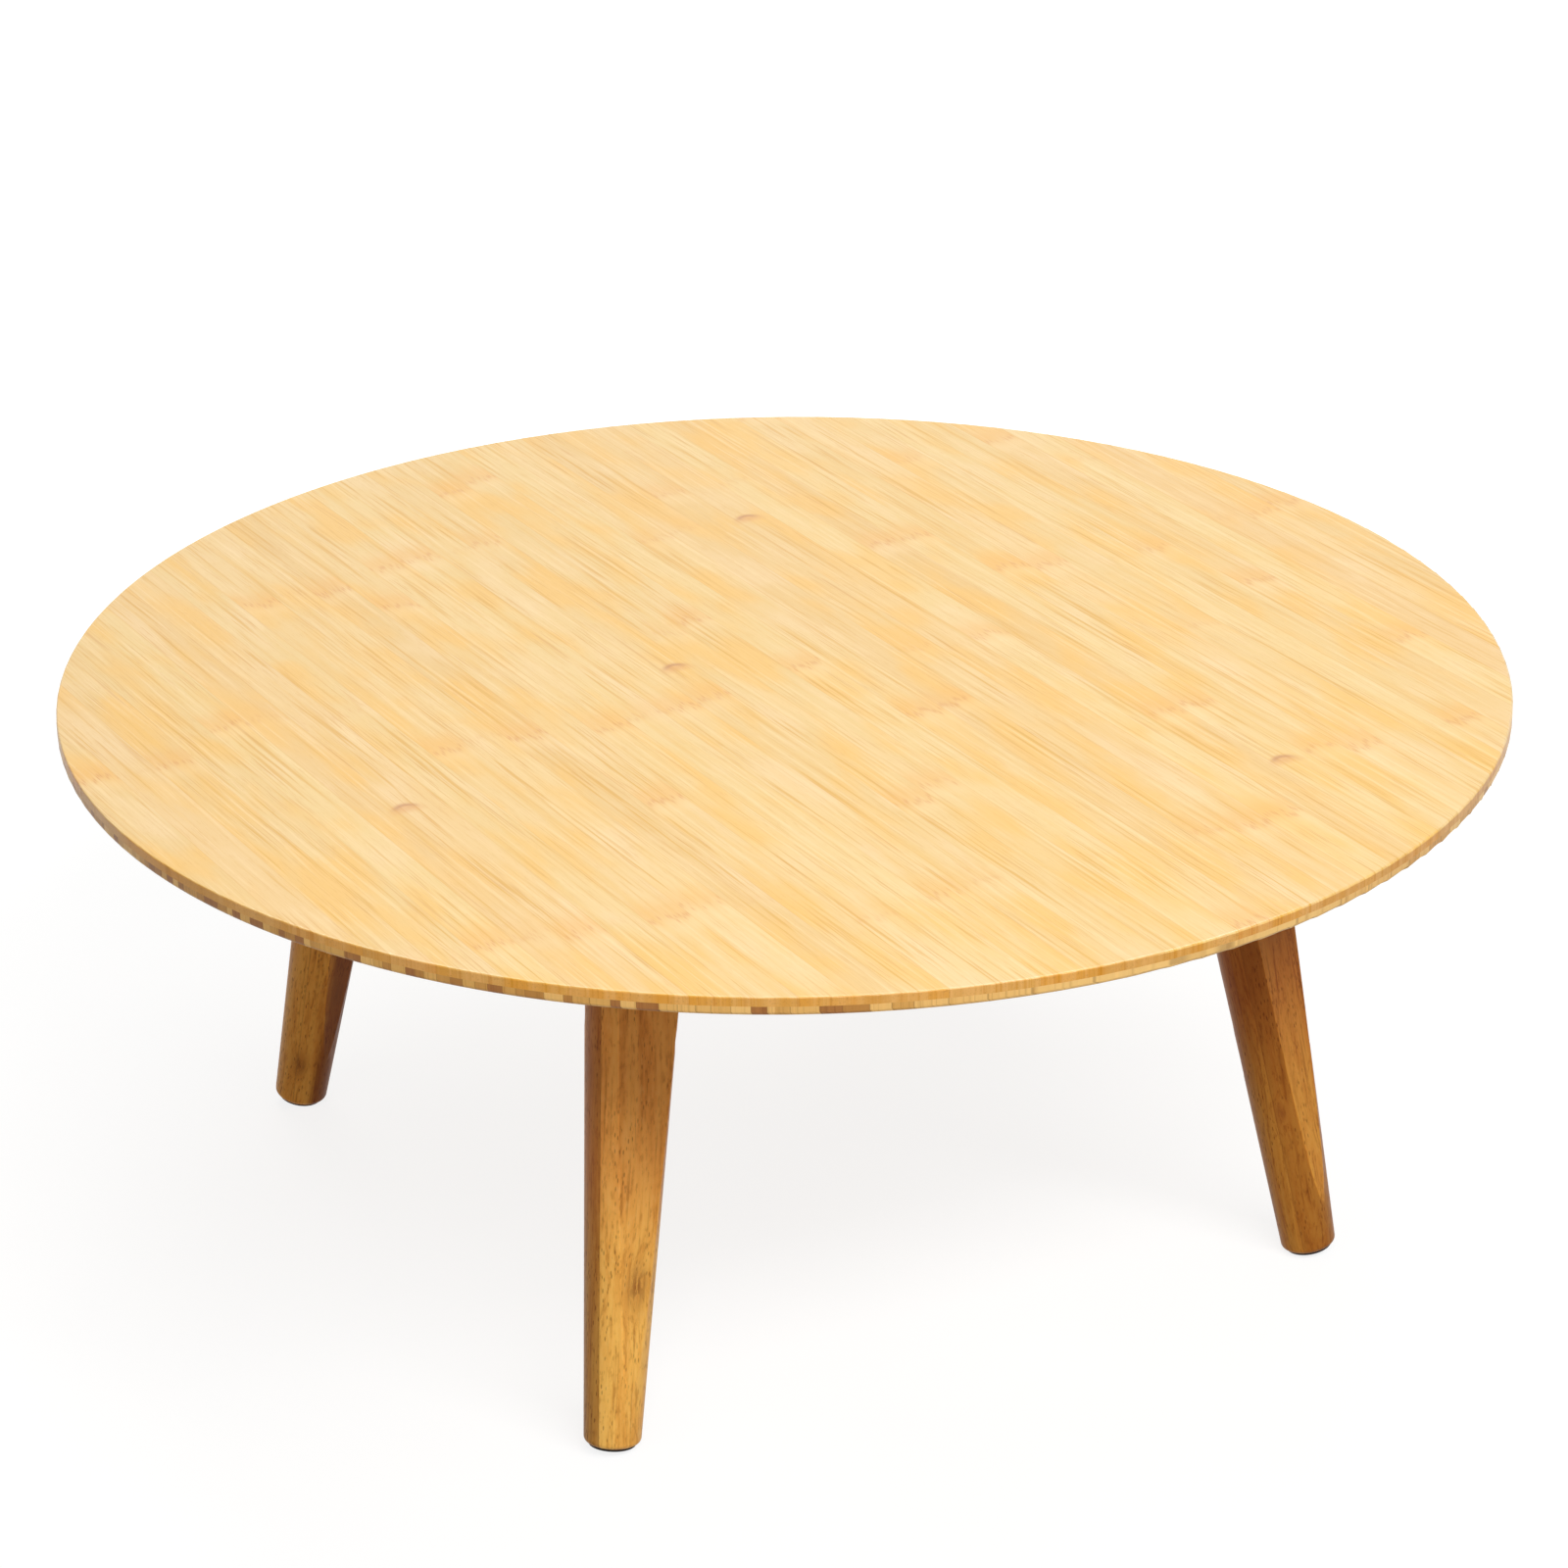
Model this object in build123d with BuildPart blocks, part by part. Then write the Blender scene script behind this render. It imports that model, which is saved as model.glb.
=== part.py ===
from build123d import *
from math import cos, radians, sin, sqrt, tan
import os

# Folding low table: a round two-ply bamboo top on four splayed, tapered legs.
# Each leg turns on a bolt in a steel clevis bracket and folds flat under the top.
# +Z is up, the origin is on the floor under the centre of the top, millimetres.

# --- table top ---
top_diameter = 800.0
upper_ply_thickness = 5.0
lower_ply_thickness = 5.0
top_arris = 1.0            # rounding of the upper rim
under_arris = 2.0          # rounding of the lower rim

# --- stance ---
table_height = 320.0
foot_spread = 218.0        # each leg's axis meets the floor this far from both centre lines
leg_splay = 11.24          # degrees off vertical, straight out from the middle
fold_yaw = 6.5             # degrees the hinges are turned in plan, so paired legs fold side by side
wide_fold_yaw = 18.5       # the same for one leg of each pair: front right and rear left
pivot_drop = 46.0          # pivot below the underside of the top

# --- leg ---
foot_radius = 15.2
pivot_radius = 25.3        # cone radius at the pivot
leg_width = 33.0           # between the two flats
foot_round = 3.0
heel_radius = 25.0         # leg top, rounded about the pivot
detent_depth = 0.8         # depth of the two flats that the spring snaps on

# --- foot pad ---
pad_radius = 12.6
pad_thickness = 1.5
pad_round = 0.5

# --- pivot ---
bolt_radius = 4.0
bush_wall = 2.0
running_clearance = 0.05
bolt_head_radius = 8.0
bolt_head_height = 4.6
nut_width = 13.0           # across flats
nut_height = 8.0
thread_end = 2.4           # bolt beyond the nut
washer_radius = 11.0
washer_thickness = 1.0

# --- bracket ---
bracket_rake = 7.0         # degrees between the base plate and a square cut of the leg
plate_gap = 29.0           # pivot to the plate
sheet = 2.5
plate_width = 62.0
plate_outer_end = 36.0     # from the pivot, away from the fold
plate_fold_end = 50.0      # from the pivot, towards the fold
plate_corner = 6.0
cheek_foot = 24.0          # length of cheek on the fold side of the pivot, at the plate
pivot_lug = 14.0
stop_lug = 7.0
stop_radius = 3.5
stop_drop = 8.5            # stop pin below the pivot, along the leg
stop_gap = 0.1             # left between leg and stop pin
stop_rivet_head = 1.6

# --- detent spring ---
spring_thickness = 0.8
spring_width = 14.0
spring_gap = 0.1
spring_tip = 9.0           # reach past the pivot
spring_lip = 4.0           # upturned end
spring_rise_start = 28.0
spring_rise = 5.0          # length of the sloped part
spring_end = 48.0
rivet_radius = 1.6
rivet_head_radius = 3.0
rivet_head = 1.0
rivet_pitch = 8.0
rivet_inset = 7.0          # from the end of the spring

# --- wedge block ---
block_width = 68.0
block_outer_end = 48.0
block_fold_end = 68.0
block_corner = 5.0

# --- screws ---
plate_screw_radius = 2.0
plate_screw_head = 4.0
plate_screw_length = 11.0
plate_screw_inset = 5.5    # from the long edges of the plate
plate_screw_end = 9.0      # from the ends of the plate
block_screw_radius = 2.25
block_screw_head = 4.5
block_screw_head_height = 3.0
block_screw_inset = 9.5    # from the ends of the block
block_screw_seat = 7.0     # wood left between screw head and top
block_screw_bite = 7.0     # length in the top
head_clearance = 0.3

# --- derived ---
underside = table_height - upper_ply_thickness - lower_ply_thickness
pivot_height = underside - pivot_drop
lean = tan(radians(leg_splay)) / sqrt(2)
pad_edge_drop = (pad_radius - pad_round) * sin(radians(leg_splay)) + pad_round
leg_reach = (pivot_height - pad_edge_drop) / cos(radians(leg_splay)) + pad_round
wood_reach = leg_reach - pad_thickness
taper = (pivot_radius - foot_radius) / wood_reach
cheek_face = leg_width / 2 + running_clearance + washer_thickness
cheek_outside = cheek_face + sheet
heel_flat = heel_radius - detent_depth
spring_level = heel_flat + spring_gap
plate_top = plate_gap + sheet
block_height = 2 * pivot_drop

corners = {
    "front_left": (-1, -1),
    "front_right": (1, -1),
    "rear_left": (-1, 1),
    "rear_right": (1, 1),
}

os.makedirs("parts", exist_ok=True)


def save(shape, name):
    shape.label = name
    export_step(shape, f"parts/{name}.step")


def leg_frame(side_x, side_y):
    """Frame at a pivot: X to the fold side, Y along the bolt, Z up the leg's axis."""
    yaw = radians(fold_yaw if side_x == side_y else wide_fold_yaw)
    up_leg = Vector(-side_x * lean, -side_y * lean, 1).normalized()
    fold_way = Vector(-side_x * cos(yaw), -side_x * sin(yaw), 0)
    bolt_way = up_leg.cross(fold_way).normalized()
    reach = foot_spread - lean * pivot_height
    origin = (side_x * reach, side_y * reach, pivot_height)
    return Plane(origin=origin, x_dir=bolt_way.cross(up_leg), z_dir=up_leg)


def bracket_frame(side_x, side_y):
    """The same pivot, turned so that Z is square to the bracket's base plate."""
    return Plane(leg_frame(side_x, side_y).location * Location((0, 0, 0), (0, -bracket_rake, 0)))


def stop_centre():
    """Stop pin in the bracket's frame, as X and Z."""
    slope = sqrt(1 + taper**2)
    flank = pivot_radius - taper * stop_drop + (stop_radius + stop_gap) * slope
    rake = radians(bracket_rake)
    x = -flank * cos(rake) - stop_drop * sin(rake)
    z = flank * sin(rake) - stop_drop * cos(rake)
    return x, z


# --- pieces that are alike at all four corners, each made once in its own frame ---

# Leg: a turned cone with two flats for the bracket's cheeks. The top is rounded about
# the pivot, with one flat for the spring when the leg is down and one when it is folded.
with BuildPart() as leg:
    with BuildSketch(Plane.XZ):
        with BuildLine():
            Polyline(
                (0, -wood_reach),
                (foot_radius, -wood_reach),
                (pivot_radius + taper * heel_radius, heel_radius),
                (0, heel_radius),
                close=True,
            )
        make_face()
    revolve(axis=Axis.Z)
    fillet(leg.edges().filter_by(GeomType.CIRCLE).sort_by(Axis.Z)[0], foot_round)
    with BuildSketch(Plane.XZ):
        Circle(heel_radius)
        Rectangle(4 * pivot_radius, wood_reach, align=(Align.CENTER, Align.MAX))
        with Locations((heel_flat, 0)):
            Rectangle(
                2 * pivot_radius, 4 * heel_radius,
                align=(Align.MIN, Align.CENTER), mode=Mode.SUBTRACT,
            )
        with Locations(Location((0, 0, 0), (0, 0, bracket_rake))):
            with Locations((0, heel_flat)):
                Rectangle(
                    2 * heel_radius, heel_radius,
                    align=(Align.CENTER, Align.MIN), mode=Mode.SUBTRACT,
                )
    extrude(amount=leg_width / 2, both=True, mode=Mode.INTERSECT)
    with BuildSketch(Plane.XZ):
        Circle(bolt_radius + running_clearance + bush_wall)
    extrude(amount=leg_width / 2, both=True, mode=Mode.SUBTRACT)

# Foot pad: rubber disc glued to the square-cut foot.
with BuildPart() as foot_pad:
    with BuildSketch(Plane.XY.offset(-leg_reach)):
        Circle(pad_radius)
    extrude(amount=pad_thickness)
    fillet(foot_pad.edges().group_by(Axis.Z)[0], pad_round)

# Pivot bush: brass tube pressed through the leg.
with BuildPart() as pivot_bush:
    with BuildSketch(Plane.XZ):
        Circle(bolt_radius + running_clearance + bush_wall)
        Circle(bolt_radius + running_clearance, mode=Mode.SUBTRACT)
    extrude(amount=leg_width / 2, both=True)

# Pivot bolt: domed head outside one cheek, thread end outside the other.
with BuildPart() as pivot_bolt:
    with BuildSketch(Plane.XZ.offset(-cheek_outside)):
        Circle(bolt_radius)
    extrude(amount=2 * cheek_outside + nut_height + thread_end)
    chamfer(pivot_bolt.edges().sort_by(Axis.Y)[0], bolt_radius / 8)
    with BuildSketch(Plane.XZ.offset(-cheek_outside)):
        Circle(bolt_head_radius)
    extrude(amount=-bolt_head_height)
    fillet(pivot_bolt.edges().sort_by(Axis.Y)[-1], bolt_head_height * 0.6)

# Lock nut: hexagon with a rounded collar over its nylon ring.
with BuildPart() as lock_nut:
    with BuildSketch(Plane.XZ.offset(cheek_outside)):
        RegularPolygon(nut_width / 2, 6, major_radius=False)
        Circle(bolt_radius, mode=Mode.SUBTRACT)
    extrude(amount=nut_height * 0.72)
    with BuildSketch(Plane.XZ.offset(cheek_outside)):
        Circle(nut_width * 0.46)
        Circle(bolt_radius, mode=Mode.SUBTRACT)
    extrude(amount=nut_height)
    fillet(lock_nut.edges().sort_by(Axis.Y)[:1], 0.8)

# Thrust washers: nylon, one on each side of the leg.
with BuildPart() as thrust_washers:
    for face in (-cheek_face + washer_thickness, cheek_face):
        with BuildSketch(Plane.XZ.offset(-face)):
            Circle(washer_radius)
            Circle(bolt_radius + running_clearance, mode=Mode.SUBTRACT)
        extrude(amount=washer_thickness)

# Clevis bracket: base plate with two welded cheeks, drilled for bolt, stop pin, rivets
# and wood screws. It is drawn in the bracket's frame.
stop_x, stop_z = stop_centre()
plate_length = plate_outer_end + plate_fold_end
plate_middle = (plate_fold_end - plate_outer_end) / 2
screw_columns = plate_length - 2 * plate_screw_end
screw_rows = plate_width - 2 * plate_screw_inset
rivet_x = spring_end - rivet_inset

with BuildPart() as bracket:
    with BuildSketch(Plane.XY.offset(plate_gap)):
        with Locations((plate_middle, 0)):
            RectangleRounded(plate_length, plate_width, plate_corner)
    extrude(amount=sheet)
    for side in (-1, 1):
        inner = Plane.XZ.offset(side * cheek_face)
        with BuildSketch(inner):
            with BuildLine():
                CenterArc((0, 0), pivot_lug, 0, 360)
                CenterArc((stop_x, stop_z), stop_lug, 0, 360)
                Line((-plate_outer_end, plate_gap), (cheek_foot, plate_gap))
            make_hull()
        extrude(amount=side * sheet)
    with BuildSketch(Plane.XZ):
        Circle(bolt_radius + running_clearance)
        with Locations((stop_x, stop_z)):
            Circle(stop_radius)
    extrude(amount=plate_width, both=True, mode=Mode.SUBTRACT)
    with BuildSketch(Plane.XY.offset(plate_gap)):
        with Locations((rivet_x, 0)):
            with GridLocations(0, rivet_pitch, 1, 2):
                Circle(rivet_radius)
    extrude(amount=sheet, mode=Mode.SUBTRACT)
    with Locations(Location((plate_middle, 0, plate_gap), (180, 0, 0))):
        with GridLocations(screw_columns, screw_rows, 2, 2):
            CounterSinkHole(plate_screw_radius, plate_screw_head, depth=sheet, counter_sink_angle=90)

# Stop pin: the deployed leg leans on it. Its ends are riveted over outside the cheeks.
with BuildPart() as stop_pin:
    with BuildSketch(Plane.XZ):
        with Locations((stop_x, stop_z)):
            Circle(stop_radius)
    extrude(amount=cheek_outside, both=True)
    for side in (-1, 1):
        with BuildSketch(Plane.XZ.offset(side * cheek_outside)):
            with Locations((stop_x, stop_z)):
                Circle(stop_radius * 1.4)
        extrude(amount=side * stop_rivet_head)

# Detent spring: a strip of spring steel that presses on the flats of the heel.
tab_level = plate_gap - spring_thickness
with BuildPart() as detent_spring:
    with BuildSketch(Plane.XZ):
        with BuildLine() as strip:
            Polyline(
                (-spring_tip - spring_lip, spring_level + spring_lip / 3),
                (-spring_tip, spring_level),
                (spring_rise_start, spring_level),
                (spring_rise_start + spring_rise, tab_level),
                (spring_end, tab_level),
            )
            offset(amount=spring_thickness, side=Side.LEFT)
        make_face()
    extrude(amount=spring_width / 2, both=True)
    with BuildSketch(Plane.XY.offset(tab_level)):
        with Locations((rivet_x, 0)):
            with GridLocations(0, rivet_pitch, 1, 2):
                Circle(rivet_radius)
    extrude(amount=spring_thickness, mode=Mode.SUBTRACT)

# Rivets of the spring.
with BuildPart() as spring_rivets:
    with BuildSketch(Plane.XY.offset(tab_level)):
        with Locations((rivet_x, 0)):
            with GridLocations(0, rivet_pitch, 1, 2):
                Circle(rivet_radius)
    extrude(amount=spring_thickness + sheet)
    with BuildSketch(Plane.XY.offset(tab_level - rivet_head)):
        with Locations((rivet_x, 0)):
            with GridLocations(0, rivet_pitch, 1, 2):
                Circle(rivet_head_radius)
    extrude(amount=rivet_head)

# Countersunk wood screw of the bracket, pointing up, with the head's face at zero.
with BuildPart() as plate_screw:
    with BuildSketch(Plane.XZ):
        with BuildLine():
            Polyline(
                (0, 0),
                (plate_screw_head, 0),
                (plate_screw_radius, plate_screw_head - plate_screw_radius),
                (plate_screw_radius, plate_screw_length - plate_screw_radius),
                (0, plate_screw_length),
                close=True,
            )
        make_face()
    revolve(axis=Axis.Z)

# Round-headed wood screw of the block, pointing up, with the head's seat at zero.
block_screw_length = block_screw_seat + block_screw_bite
with BuildPart() as block_screw:
    with BuildSketch(Plane.XZ):
        with BuildLine():
            Polyline(
                (0, -block_screw_head_height),
                (block_screw_head, -block_screw_head_height),
                (block_screw_head, 0),
                (block_screw_radius, 0),
                (block_screw_radius, block_screw_length - block_screw_radius),
                (0, block_screw_length),
                close=True,
            )
        make_face()
    revolve(axis=Axis.Z)
    fillet(block_screw.edges().filter_by(GeomType.CIRCLE).sort_by(Axis.Z)[0], block_screw_head_height / 2)

# --- the four legs and what each turns on ---

for corner, (side_x, side_y) in corners.items():
    leg_place = leg_frame(side_x, side_y).location
    bracket_place = bracket_frame(side_x, side_y).location
    save(leg.part.moved(leg_place), f"{corner}_leg")
    save(foot_pad.part.moved(leg_place), f"{corner}_foot_pad")
    save(pivot_bush.part.moved(leg_place), f"{corner}_pivot_bush")
    save(pivot_bolt.part.moved(leg_place), f"{corner}_pivot_bolt")
    save(lock_nut.part.moved(leg_place), f"{corner}_lock_nut")
    save(thrust_washers.part.moved(leg_place), f"{corner}_thrust_washers")
    save(bracket.part.moved(bracket_place), f"{corner}_bracket")
    save(stop_pin.part.moved(bracket_place), f"{corner}_stop_pin")
    save(detent_spring.part.moved(bracket_place), f"{corner}_detent_spring")

# --- wedge blocks: bamboo, flat against the top, raked below to the bracket's plate ---

block_length = block_outer_end + block_fold_end
block_middle = (block_fold_end - block_outer_end) / 2
block_screw_ends = (block_screw_inset - block_outer_end, block_fold_end - block_screw_inset)
block_screw_places = []

for corner, (side_x, side_y) in corners.items():
    bracket_place = bracket_frame(side_x, side_y).location
    raked_face = Plane(bracket_place * Location((0, 0, plate_top)))
    screw_points = []
    for end in block_screw_ends:
        point = (raked_face.location * Location((end, 0, 0))).position
        screw_points.append((point.X, point.Y))
    block_screw_places += screw_points
    with BuildPart() as wedge_block:
        with BuildSketch(raked_face):
            with Locations((block_middle, 0)):
                RectangleRounded(block_length, block_width, block_corner)
        extrude(amount=block_height)
        split(bisect_by=Plane.XY.offset(underside), keep=Keep.BOTTOM)
        with BuildSketch(raked_face):
            with Locations((plate_middle, 0)):
                with GridLocations(screw_columns, screw_rows, 2, 2):
                    Circle(plate_screw_radius)
        extrude(amount=plate_screw_length - sheet, mode=Mode.SUBTRACT)
        with BuildSketch(Plane.XY.offset(underside)):
            with Locations(*screw_points):
                Circle(block_screw_radius)
        extrude(amount=-block_height, mode=Mode.SUBTRACT)
        with BuildSketch(Plane.XY.offset(underside - block_screw_seat)):
            with Locations(*screw_points):
                Circle(block_screw_head + head_clearance)
        extrude(amount=-block_height, mode=Mode.SUBTRACT)
    save(wedge_block.part, f"{corner}_wedge_block")

# --- fasteners that are alike, as groups of separate solids ---

with BuildPart() as bracket_screws:
    for side_x, side_y in corners.values():
        plate_face = bracket_frame(side_x, side_y).location * Location((plate_middle, 0, plate_gap))
        with Locations(plate_face):
            with GridLocations(screw_columns, screw_rows, 2, 2):
                add(plate_screw.part)
save(bracket_screws.part, "bracket_screws")

with BuildPart() as block_screws:
    with Locations(Plane.XY.offset(underside - block_screw_seat)):
        with Locations(*block_screw_places):
            add(block_screw.part)
save(block_screws.part, "block_screws")

with BuildPart() as all_spring_rivets:
    for side_x, side_y in corners.values():
        with Locations(bracket_frame(side_x, side_y).location):
            add(spring_rivets.part)
save(all_spring_rivets.part, "spring_rivets")

# --- table top: two plies of glued bamboo strips, laid crosswise ---

with BuildPart() as lower_ply:
    with BuildSketch(Plane.XY.offset(underside)):
        Circle(top_diameter / 2)
    extrude(amount=lower_ply_thickness)
    fillet(lower_ply.edges().sort_by(Axis.Z)[0], under_arris)
    with BuildSketch(Plane.XY.offset(underside)):
        with Locations(*block_screw_places):
            Circle(block_screw_radius)
    extrude(amount=lower_ply_thickness, mode=Mode.SUBTRACT)
save(lower_ply.part, "lower_ply")

with BuildPart() as upper_ply:
    with BuildSketch(Plane.XY.offset(underside + lower_ply_thickness)):
        Circle(top_diameter / 2)
    extrude(amount=upper_ply_thickness)
    fillet(upper_ply.edges().sort_by(Axis.Z)[-1], top_arris)
    with BuildSketch(Plane.XY.offset(underside + lower_ply_thickness)):
        with Locations(*block_screw_places):
            Circle(block_screw_radius)
    extrude(amount=block_screw_bite - lower_ply_thickness, mode=Mode.SUBTRACT)
save(upper_ply.part, "upper_ply")
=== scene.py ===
from math import cos, pi, radians, sin, sqrt, tan

import bmesh
import bpy
from mathutils import Matrix, Vector


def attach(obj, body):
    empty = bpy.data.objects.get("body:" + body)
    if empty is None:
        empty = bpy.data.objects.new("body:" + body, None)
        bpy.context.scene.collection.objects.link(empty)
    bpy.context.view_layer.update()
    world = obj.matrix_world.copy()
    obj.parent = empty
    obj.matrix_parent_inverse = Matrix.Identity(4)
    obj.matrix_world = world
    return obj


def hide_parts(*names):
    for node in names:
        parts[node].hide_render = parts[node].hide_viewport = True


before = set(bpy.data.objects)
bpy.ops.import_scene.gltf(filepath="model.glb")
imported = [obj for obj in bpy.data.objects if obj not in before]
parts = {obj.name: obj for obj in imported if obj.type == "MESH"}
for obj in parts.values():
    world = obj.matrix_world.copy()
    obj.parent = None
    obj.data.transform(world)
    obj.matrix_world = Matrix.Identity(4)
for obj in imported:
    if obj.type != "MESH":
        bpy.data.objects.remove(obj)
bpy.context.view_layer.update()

# --- Upper ply of the round top ---
# Strips of natural bamboo, 22 mm wide and 5 mm thick, glued edge to edge, turned round,
# sanded and sprayed with clear lacquer. They run a few degrees off the line of the legs.

strip_width = 22.0
strip_count = 37
top_width = 800.0
grain_turn = radians(3.3)

# strips that were cut from one cane lie side by side and nearly share their nodes:
# the first strip of each cane, where its front node lies, and the pitch of its nodes
canes = (
    (-18, 60, 290), (-16, -225, 309), (-13, -238, 392), (-12, -233, 300), (-10, -240, 238),
    (-8, -118, 310), (-7, -291, 270), (-3, -182, 262), (-1, -291, 285), (1, -96, 300),
    (3, -302, 280), (5, -160, 290), (7, -247, 300), (9, -74, 310), (10, -249, 290),
    (12, -30, 271), (14, -150, 330), (15, 52, 280), (17, 120, 290),
)
longest_pitch = 400.0

# nodes are rows of separate ticks, one to a bundle of fibres, and shift a little from strip
# to strip; a bud scar is a ring with a dark lip, at a place across and along the strips
node_shift = 12
tick_width = 1.15
tick_length = 2.8
tick_scatter = 8
bud_scars = ((161, -246), (-52, 31), (96, 205), (-262, -56))
scar_width = 9.0
scar_length = 5.5


class Wire:
    """A node's output that can stand in a sum. Sums of values add Math nodes, and sums
    with a colour or a vector in them add Mix and Vector Math nodes."""

    def __init__(self, socket):
        self.socket = socket

    def node(self, kind, settings, sockets, out=0):
        """Adds a node: first its settings, then the values or wires of its sockets."""
        tree = self.socket.id_data
        made = tree.nodes.new(kind)
        for name, value in settings.items():
            if name == "stops":
                while len(made.color_ramp.elements) < len(value):
                    made.color_ramp.elements.new(0.5)
                for element, (position, colour) in zip(made.color_ramp.elements, value):
                    element.position = position
                    element.color = colour
            elif name == "blend":
                made.color_ramp.interpolation = value
            else:
                setattr(made, name, value)
        for name, value in sockets.items():
            inlet = made.inputs[name]
            if isinstance(value, Wire):
                tree.links.new(value.socket, inlet)
            elif inlet.type == "VECTOR" and isinstance(value, (int, float)):
                inlet.default_value = (value, value, value)
            elif inlet.type == "RGBA" and isinstance(value, (int, float)):
                inlet.default_value = (value, value, value, 1)
            else:
                inlet.default_value = value
        return Wire(made.outputs[out])

    def sum(self, operation, left, right):
        kinds = [side.socket.type for side in (left, right) if isinstance(side, Wire)]
        if "RGBA" in kinds:
            settings = {"data_type": "RGBA", "blend_type": operation}
            return self.node("ShaderNodeMix", settings, {0: 1.0, 6: left, 7: right}, 2)
        if "VECTOR" in kinds:
            return self.node("ShaderNodeVectorMath", {"operation": operation}, {0: left, 1: right})
        return self.node("ShaderNodeMath", {"operation": operation}, {0: left, 1: right})

    def __add__(self, other):
        return self.sum("ADD", self, other)

    def __radd__(self, other):
        return self.sum("ADD", other, self)

    def __sub__(self, other):
        return self.sum("SUBTRACT", self, other)

    def __rsub__(self, other):
        return self.sum("SUBTRACT", other, self)

    def __mul__(self, other):
        return self.sum("MULTIPLY", self, other)

    def __rmul__(self, other):
        return self.sum("MULTIPLY", other, self)

    def __truediv__(self, other):
        return self.sum("DIVIDE", self, other)

    def math(self, operation, other=0.0):
        return self.node("ShaderNodeMath", {"operation": operation}, {0: self, 1: other})

    def dot(self, way):
        """How far the point lies along a direction."""
        settings = {"operation": "DOT_PRODUCT"}
        return self.node("ShaderNodeVectorMath", settings, {0: self, 1: way}, "Value")

    def length(self):
        return self.node("ShaderNodeVectorMath", {"operation": "LENGTH"}, {0: self}, "Value")

    def rise(self, low, high):
        """0 up to low, 1 from high, smooth between; it falls if low is the larger."""
        settings = {"interpolation_type": "SMOOTHSTEP"}
        sockets = {"Value": self, "From Min": low, "From Max": high}
        return self.node("ShaderNodeMapRange", settings, sockets)

    def hump(self, width):
        """1 where the value is 0, fading to both sides over about the width."""
        ratio = self / width
        return (0 - ratio * ratio).math("EXPONENT")

    def toward(self, other, mask):
        """This colour, turned into the other one where the mask is 1."""
        settings = {"data_type": "RGBA"}
        return self.node("ShaderNodeMix", settings, {0: mask, 6: self, 7: other}, 2)

    def point(self, x, y, z):
        return self.node("ShaderNodeCombineXYZ", {}, {"X": x, "Y": y, "Z": z})

    def cloud(self, detail=2.0, roughness=0.5):
        """Soft noise about 0.5, one cloud to each unit of the point."""
        sockets = {"Vector": self, "Scale": 1.0, "Detail": detail, "Roughness": roughness}
        return self.node("ShaderNodeTexNoise", {}, sockets)

    def split(self):
        """The three numbers of a colour."""
        return [self.node("ShaderNodeSeparateColor", {}, {0: self}, i) for i in range(3)]

    def dice(self):
        """Three chance numbers from 0 to 1 that belong to a whole number or a point."""
        flat = self.socket.type == "VALUE"
        settings = {"noise_dimensions": "1D" if flat else "3D"}
        sockets = {"W" if flat else "Vector": self}
        return self.node("ShaderNodeTexWhiteNoise", settings, sockets, "Color").split()

    def ramp(self, *stops, blend="LINEAR"):
        """Colours by value; the stops are (value, colour)."""
        return self.node("ShaderNodeValToRGB", {"stops": stops, "blend": blend}, {"Fac": self})


def tint(red, green, blue):
    """A paint-chart colour from 0 to 255, as the shader's own numbers."""
    chart = [value / 255 for value in (red, green, blue)]
    linear = [v / 12.92 if v <= 0.04045 else ((v + 0.055) / 1.055) ** 2.4 for v in chart]
    return (*linear, 1.0)


def new_finish(name, **fixed):
    """A new material, its shader with the fixed values set, the piece's own point in mm
    and its outward direction."""
    finish = bpy.data.materials.new(name)
    finish.use_nodes = True
    shader = finish.node_tree.nodes["Principled BSDF"]
    for socket, value in fixed.items():
        shader.inputs[socket.replace("_", " ")].default_value = value
    coordinates = finish.node_tree.nodes.new("ShaderNodeTexCoord")
    place = Wire(coordinates.outputs["Object"]) * 1000
    return finish, shader, place, Wire(coordinates.outputs["Normal"])


def spread(shader, colour, roughness, height):
    """Leads the varying colour, roughness and relief (in mm) to the shader."""
    tree = shader.id_data
    tree.links.new(colour.socket, shader.inputs["Base Color"])
    tree.links.new(roughness.socket, shader.inputs["Roughness"])
    bump = {"Strength": 1.0, "Distance": 0.001, "Height": height}
    relief = height.node("ShaderNodeBump", {}, bump)
    tree.links.new(relief.socket, shader.inputs["Normal"])


def dress(node, finish):
    """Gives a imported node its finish."""
    for slot in parts[node].material_slots:
        slot.material = finish


upper_finish, shader, place, normal = new_finish(
    "natural_bamboo_lacquer", Coat_Roughness=0.12, Specular_IOR_Level=0.2
)
across = place.dot((cos(grain_turn), sin(grain_turn), 0))
along = place.dot((-sin(grain_turn), cos(grain_turn), 0))
height_in_top = place.dot((0, 0, 1))
strip = (across / strip_width).math("FLOOR")
in_strip = (across / strip_width).math("FRACT") - 0.5
shade_luck, hue_luck, step_luck = strip.dice()
seam = in_strip.math("ABSOLUTE").rise(0.5 - 0.5 / strip_width, 0.5 - 0.1 / strip_width)

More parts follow.
